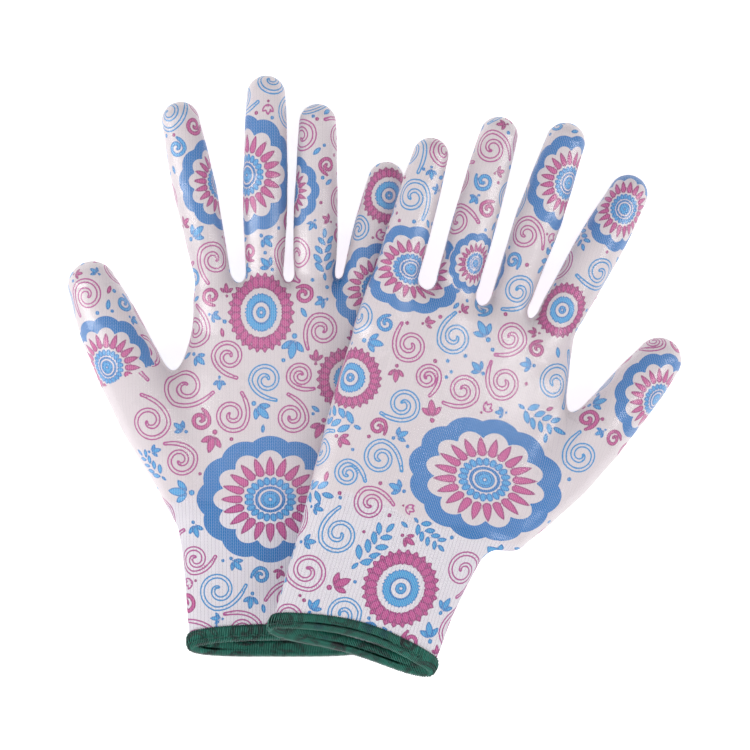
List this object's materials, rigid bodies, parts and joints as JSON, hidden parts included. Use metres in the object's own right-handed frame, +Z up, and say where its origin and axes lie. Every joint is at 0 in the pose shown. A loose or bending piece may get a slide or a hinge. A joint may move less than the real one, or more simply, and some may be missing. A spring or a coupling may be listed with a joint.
{
  "type": "pair of gardening gloves",
  "caption": "Pair of palm-dipped knitted gardening gloves lying palm up, right over left, with printed flowers, clear coating and green overlocked cuffs.",
  "frame": {"origin": "on the floor under the middle of the pair", "axes": "+X to the right, +Y from the cuffs towards the fingertips, +Z up from the floor, out of the palms"},
  "size_m": [0.2588, 0.2531, 0.0421],
  "materials": {
    "printed_knit": "matte polyester knit with a printed flower pattern in blue and magenta",
    "clear_nitrile": "clear glossy dipped film",
    "hem_thread": "matte dark green overlock thread",
    "elastane_yarn": "matte white covered elastane"
  },
  "bodies": {
    "left_palm": {"left_palm_liner": "printed_knit", "left_palm_coating": "clear_nitrile", "left_cuff": "printed_knit", "left_cuff_elastic": "elastane_yarn", "left_hem": "hem_thread"},
    "left_thumb_base": {"left_thumb_base_liner": "printed_knit", "left_thumb_base_coating": "clear_nitrile"},
    "left_thumb_tip": {"left_thumb_tip_liner": "printed_knit", "left_thumb_tip_coating": "clear_nitrile"},
    "left_index_base": {"left_index_base_liner": "printed_knit", "left_index_base_coating": "clear_nitrile"},
    "left_index_tip": {"left_index_tip_liner": "printed_knit", "left_index_tip_coating": "clear_nitrile"},
    "left_middle_base": {"left_middle_base_liner": "printed_knit", "left_middle_base_coating": "clear_nitrile"},
    "left_middle_tip": {"left_middle_tip_liner": "printed_knit", "left_middle_tip_coating": "clear_nitrile"},
    "left_ring_base": {"left_ring_base_liner": "printed_knit", "left_ring_base_coating": "clear_nitrile"},
    "left_ring_tip": {"left_ring_tip_liner": "printed_knit", "left_ring_tip_coating": "clear_nitrile"},
    "left_little_base": {"left_little_base_liner": "printed_knit", "left_little_base_coating": "clear_nitrile"},
    "left_little_tip": {"left_little_tip_liner": "printed_knit", "left_little_tip_coating": "clear_nitrile"},
    "right_palm": {"right_palm_liner": "printed_knit", "right_palm_coating": "clear_nitrile", "right_cuff": "printed_knit", "right_cuff_elastic": "elastane_yarn", "right_hem": "hem_thread"},
    "right_thumb_base": {"right_thumb_base_liner": "printed_knit", "right_thumb_base_coating": "clear_nitrile"},
    "right_thumb_tip": {"right_thumb_tip_liner": "printed_knit", "right_thumb_tip_coating": "clear_nitrile"},
    "right_index_base": {"right_index_base_liner": "printed_knit", "right_index_base_coating": "clear_nitrile"},
    "right_index_tip": {"right_index_tip_liner": "printed_knit", "right_index_tip_coating": "clear_nitrile"},
    "right_middle_base": {"right_middle_base_liner": "printed_knit", "right_middle_base_coating": "clear_nitrile"},
    "right_middle_tip": {"right_middle_tip_liner": "printed_knit", "right_middle_tip_coating": "clear_nitrile"},
    "right_ring_base": {"right_ring_base_liner": "printed_knit", "right_ring_base_coating": "clear_nitrile"},
    "right_ring_tip": {"right_ring_tip_liner": "printed_knit", "right_ring_tip_coating": "clear_nitrile"},
    "right_little_base": {"right_little_base_liner": "printed_knit", "right_little_base_coating": "clear_nitrile"},
    "right_little_tip": {"right_little_tip_liner": "printed_knit", "right_little_tip_coating": "clear_nitrile"}
  },
  "joints": [
    {"name": "right_glove_lift", "type": "slide", "parent": "left_palm", "child": "right_palm", "axis": [0, 0, 1], "range_m": [0, 0.15]},
    {"name": "left_thumb_root_bend", "type": "hinge", "parent": "left_palm", "child": "left_thumb_base", "pos_m": [-0.103, 0.0026, 0.0286], "axis": [0.9114, 0.4115, 0], "range_deg": [0, 50]},
    {"name": "left_thumb_middle_bend", "type": "hinge", "parent": "left_thumb_base", "child": "left_thumb_tip", "pos_m": [-0.11164, 0.02174, 0.0274], "axis": [0.9114, 0.4115, 0], "range_deg": [0, 70]},
    {"name": "left_index_root_bend", "type": "hinge", "parent": "left_palm", "child": "left_index_base", "pos_m": [-0.0696, 0.0491, 0.0202], "axis": [0.9781, 0.2079, 0], "range_deg": [0, 80]},
    {"name": "left_index_middle_bend", "type": "hinge", "parent": "left_index_base", "child": "left_index_tip", "pos_m": [-0.07563, 0.07747, 0.0212], "axis": [0.9781, 0.2079, 0], "range_deg": [0, 90]},
    {"name": "left_middle_root_bend", "type": "hinge", "parent": "left_palm", "child": "left_middle_base", "pos_m": [-0.0464, 0.0501, 0.0206], "axis": [1, -0.0087, 0], "range_deg": [0, 80]},
    {"name": "left_middle_middle_bend", "type": "hinge", "parent": "left_middle_base", "child": "left_middle_tip", "pos_m": [-0.0461, 0.0841, 0.0221], "axis": [1, -0.0087, 0], "range_deg": [0, 90]},
    {"name": "left_ring_root_bend", "type": "hinge", "parent": "left_palm", "child": "left_ring_base", "pos_m": [-0.0252, 0.0486, 0.0213], "axis": [0.9998, -0.0209, 0], "range_deg": [0, 80]},
    {"name": "left_ring_middle_bend", "type": "hinge", "parent": "left_ring_base", "child": "left_ring_tip", "pos_m": [-0.02459, 0.07759, 0.0217], "axis": [0.9998, -0.0209, 0], "range_deg": [0, 90]},
    {"name": "left_little_root_bend", "type": "hinge", "parent": "left_palm", "child": "left_little_base", "pos_m": [-0.0049, 0.0421, 0.0207], "axis": [0.9724, -0.2334, 0], "range_deg": [0, 10]},
    {"name": "left_little_middle_bend", "type": "hinge", "parent": "left_little_base", "child": "left_little_tip", "pos_m": [0.00012, 0.06301, 0.0208], "axis": [0.9724, -0.2334, 0], "range_deg": [0, 12]},
    {"name": "right_thumb_root_bend", "type": "hinge", "parent": "right_palm", "child": "right_thumb_base", "pos_m": [0.09571, -0.02575, 0.02747], "axis": [0.7389, -0.6479, -0.1853], "range_deg": [0, 50]},
    {"name": "right_thumb_middle_bend", "type": "hinge", "parent": "right_thumb_base", "child": "right_thumb_tip", "pos_m": [0.11017, -0.00821, 0.02384], "axis": [0.7389, -0.6479, -0.1853], "range_deg": [0, 70]},
    {"name": "right_index_root_bend", "type": "hinge", "parent": "right_palm", "child": "right_index_base", "pos_m": [0.08131, 0.02727, 0.02435], "axis": [0.8445, -0.4953, -0.2036], "range_deg": [0, 80]},
    {"name": "right_index_middle_bend", "type": "hinge", "parent": "right_index_base", "child": "right_index_tip", "pos_m": [0.09514, 0.05156, 0.02262], "axis": [0.8445, -0.4953, -0.2036], "range_deg": [0, 90]},
    {"name": "right_middle_root_bend", "type": "hinge", "parent": "right_palm", "child": "right_middle_base", "pos_m": [0.05968, 0.03469, 0.02846], "axis": [0.918, -0.3337, -0.2143], "range_deg": [0, 80]},
    {"name": "right_middle_middle_bend", "type": "hinge", "parent": "right_middle_base", "child": "right_middle_tip", "pos_m": [0.07094, 0.06574, 0.02835], "axis": [0.918, -0.3337, -0.2143], "range_deg": [0, 90]},
    {"name": "right_ring_root_bend", "type": "hinge", "parent": "right_palm", "child": "right_ring_base", "pos_m": [0.03709, 0.04036, 0.03437], "axis": [0.9375, -0.2723, -0.2166], "range_deg": [0, 80]},
    {"name": "right_ring_middle_bend", "type": "hinge", "parent": "right_ring_base", "child": "right_ring_tip", "pos_m": [0.04554, 0.07017, 0.03351], "axis": [0.9375, -0.2723, -0.2166], "range_deg": [0, 90]},
    {"name": "right_little_root_bend", "type": "hinge", "parent": "right_palm", "child": "right_little_base", "pos_m": [0.01166, 0.04373, 0.04021], "axis": [0.9361, -0.2773, -0.2164], "range_deg": [0, 80]},
    {"name": "right_little_middle_bend", "type": "hinge", "parent": "right_little_base", "child": "right_little_tip", "pos_m": [0.01847, 0.06775, 0.0389], "axis": [0.9361, -0.2773, -0.2164], "range_deg": [0, 90]}
  ]
}
